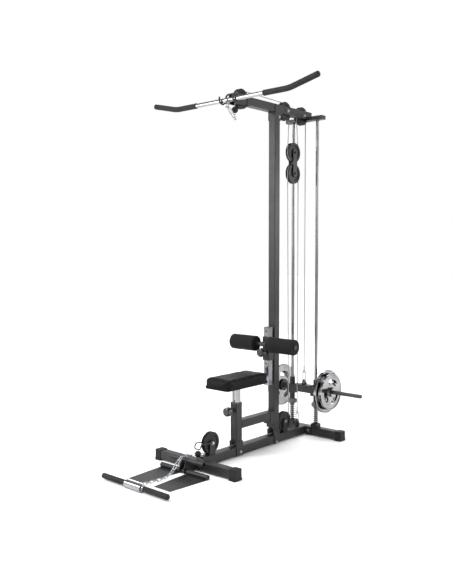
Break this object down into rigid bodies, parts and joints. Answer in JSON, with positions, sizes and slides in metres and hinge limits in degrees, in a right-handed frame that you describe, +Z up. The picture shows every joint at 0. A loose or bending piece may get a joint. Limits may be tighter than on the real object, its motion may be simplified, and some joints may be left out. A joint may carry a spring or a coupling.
{
  "type": "cable pulldown and row tower",
  "caption": "Plate-loaded cable tower: lat bar on a high pulley, low row handle with foot plates, seat, thigh rollers and a weight carriage on guide rods.",
  "frame": {"origin": "on the floor, under the middle of the whole machine", "axes": "+Z up, +Y towards the weight carriage, -Y towards the row handle, X across the machine along the bars"},
  "size_m": [1.2392, 1.63, 2.1395],
  "materials": {
    "frame_paint": "satin black powder coat",
    "rubber": "matte moulded rubber",
    "plastic": "fine-grained black plastic",
    "chrome": "bright chrome plate",
    "zinc": "bright zinc plate",
    "horn_steel": "dark satin paint, worn by plates",
    "cup_rubber": "grey rubber",
    "sheave": "moulded black nylon",
    "cable": "black coating over steel strand",
    "leatherette": "black grained leatherette",
    "foam": "closed-cell black foam"
  },
  "bodies": {
    "frame": {"front_cross_tube": "frame_paint", "rear_cross_tube": "frame_paint", "foot_caps": "rubber", "base_rail": "frame_paint", "column": "frame_paint", "seat_column": "frame_paint", "lower_brace": "frame_paint", "boom": "frame_paint", "boom_gussets": "frame_paint", "front_fork": "frame_paint", "top_cross_bar": "frame_paint", "guide_rods": "chrome", "plastic_caps": "plastic", "spring_seats": "frame_paint", "bumper_springs": "zinc", "low_brackets": "frame_paint", "frame_bolts": "zinc", "anchor_hook": "zinc", "thigh_post": "chrome", "foot_bracket": "frame_paint", "fixed_cables": "cable", "lat_cable_front": "cable", "lat_cable_block": "cable", "lat_cable_rear": "cable", "row_cable_block": "cable", "row_cable_front": "cable"},
    "front_top_wheel": {"front_top_sheave": "sheave"},
    "middle_top_wheel": {"middle_top_sheave": "sheave"},
    "rear_top_wheel": {"rear_top_sheave": "sheave"},
    "low_front_wheel": {"low_front_sheave": "sheave"},
    "low_rear_wheel": {"low_rear_sheave": "sheave"},
    "floating_block": {"block_plates": "frame_paint", "block_cables": "cable"},
    "block_upper_wheel": {"block_upper_sheave": "sheave"},
    "block_lower_wheel": {"block_lower_sheave": "sheave"},
    "carriage": {"carriage_beam": "frame_paint", "horns": "horn_steel", "rubber_cups": "cup_rubber", "carriage_hook": "zinc"},
    "left_inner": {"left_inner_plate": "chrome"},
    "left_outer": {"left_outer_plate": "chrome"},
    "right_inner": {"right_inner_plate": "chrome"},
    "right_outer": {"right_outer_plate": "chrome"},
    "lat_cable_end": {"lat_ball": "rubber", "lat_link": "zinc"},
    "bar": {"lat_bar": "chrome", "lat_grips": "rubber"},
    "seat": {"seat_post": "chrome", "seat_pad": "leatherette"},
    "seat_knob": {"seat_pin": "plastic"},
    "thigh_hold": {"thigh_sleeve": "frame_paint"},
    "left_thigh_roller": {"left_roller": "foam"},
    "right_thigh_roller": {"right_roller": "foam"},
    "thigh_knob": {"thigh_pin": "plastic"},
    "left_foot": {"left_foot_plate": "frame_paint"},
    "right_foot": {"right_foot_plate": "frame_paint"},
    "row_end": {"row_chain": "zinc", "row_sleeve": "chrome", "row_ball": "rubber"},
    "row_bar": {"row_handle": "rubber"}
  },
  "joints": [
    {"name": "carriage_lift", "type": "slide", "parent": "frame", "child": "carriage", "axis": [0, 0, 1], "range_m": [0, 1.1], "deforming": ["lat_cable_rear"]},
    {"name": "lat_pull", "type": "slide", "parent": "frame", "child": "lat_cable_end", "axis": [0, 0, -1], "range_m": [0, 1.1], "deforming": ["lat_cable_front"]},
    {"name": "bar_lift", "type": "slide", "parent": "frame", "child": "bar", "axis": [0, 0, 1], "range_m": [0, 0.15]},
    {"name": "block_drop", "type": "slide", "parent": "frame", "child": "floating_block", "axis": [0, 0, -1], "range_m": [0, 0.45], "deforming": ["lat_cable_block", "row_cable_block"]},
    {"name": "row_pull", "type": "slide", "parent": "frame", "child": "row_end", "axis": [0, -0.9397, 0.342], "range_m": [0, 0.9]},
    {"name": "handle_turn", "type": "hinge", "parent": "row_end", "child": "row_bar", "pos_m": [0, -0.794, 0.021], "axis": [1, 0, 0], "continuous": true},
    {"name": "front_top_spin", "type": "hinge", "parent": "frame", "child": "front_top_wheel", "pos_m": [0, 0.032, 2.082], "axis": [1, 0, 0], "continuous": true},
    {"name": "middle_top_spin", "type": "hinge", "parent": "frame", "child": "middle_top_wheel", "pos_m": [0, 0.45, 2.073], "axis": [1, 0, 0], "continuous": true},
    {"name": "rear_top_spin", "type": "hinge", "parent": "frame", "child": "rear_top_wheel", "pos_m": [0, 0.626, 2.067], "axis": [1, 0, 0], "continuous": true},
    {"name": "low_front_spin", "type": "hinge", "parent": "frame", "child": "low_front_wheel", "pos_m": [0, -0.231, 0.126], "axis": [1, 0, 0], "continuous": true},
    {"name": "low_rear_spin", "type": "hinge", "parent": "frame", "child": "low_rear_wheel", "pos_m": [0, 0.45, 0.1245], "axis": [1, 0, 0], "continuous": true},
    {"name": "block_upper_spin", "type": "hinge", "parent": "floating_block", "child": "block_upper_wheel", "pos_m": [0, 0.542, 1.828], "axis": [1, 0, 0], "continuous": true},
    {"name": "block_lower_spin", "type": "hinge", "parent": "floating_block", "child": "block_lower_wheel", "pos_m": [0, 0.542, 1.696], "axis": [1, 0, 0], "continuous": true},
    {"name": "left_inner_slide", "type": "slide", "parent": "carriage", "child": "left_inner", "axis": [-1, 0, 0], "range_m": [0, 0.1]},
    {"name": "left_outer_slide", "type": "slide", "parent": "left_inner", "child": "left_outer", "axis": [-1, 0, 0], "range_m": [0, 0.1]},
    {"name": "right_inner_slide", "type": "slide", "parent": "carriage", "child": "right_inner", "axis": [1, 0, 0], "range_m": [0, 0.1]},
    {"name": "right_outer_slide", "type": "slide", "parent": "right_inner", "child": "right_outer", "axis": [1, 0, 0], "range_m": [0, 0.1]},
    {"name": "seat_height", "type": "slide", "parent": "frame", "child": "seat", "axis": [0, 0, 1], "range_m": [-0.07, 0.025]},
    {"name": "seat_knob_pull", "type": "slide", "parent": "frame", "child": "seat_knob", "axis": [0, -1, 0], "range_m": [0, 0.01]},
    {"name": "thigh_height", "type": "slide", "parent": "frame", "child": "thigh_hold", "axis": [0, 0, 1], "range_m": [-0.066, 0.033]},
    {"name": "thigh_knob_pull", "type": "slide", "parent": "thigh_hold", "child": "thigh_knob", "axis": [0, -1, 0], "range_m": [0, 0.01]},
    {"name": "left_roller_spin", "type": "hinge", "parent": "thigh_hold", "child": "left_thigh_roller", "pos_m": [0, 0.246, 0.637], "axis": [1, 0, 0], "continuous": true},
    {"name": "right_roller_spin", "type": "hinge", "parent": "thigh_hold", "child": "right_thigh_roller", "pos_m": [0, 0.246, 0.637], "axis": [1, 0, 0], "continuous": true},
    {"name": "left_foot_fold", "type": "hinge", "parent": "frame", "child": "left_foot", "pos_m": [0, -0.44, 0.0135], "axis": [-1, 0, 0], "range_deg": [0, 97]},
    {"name": "right_foot_fold", "type": "hinge", "parent": "frame", "child": "right_foot", "pos_m": [0, -0.44, 0.0135], "axis": [-1, 0, 0], "range_deg": [0, 97]}
  ],
  "couplings": [
    {"joint": "lat_pull", "follows": "carriage_lift", "ratio": 1},
    {"joint": "row_pull", "follows": "block_drop", "ratio": 2}
  ]
}
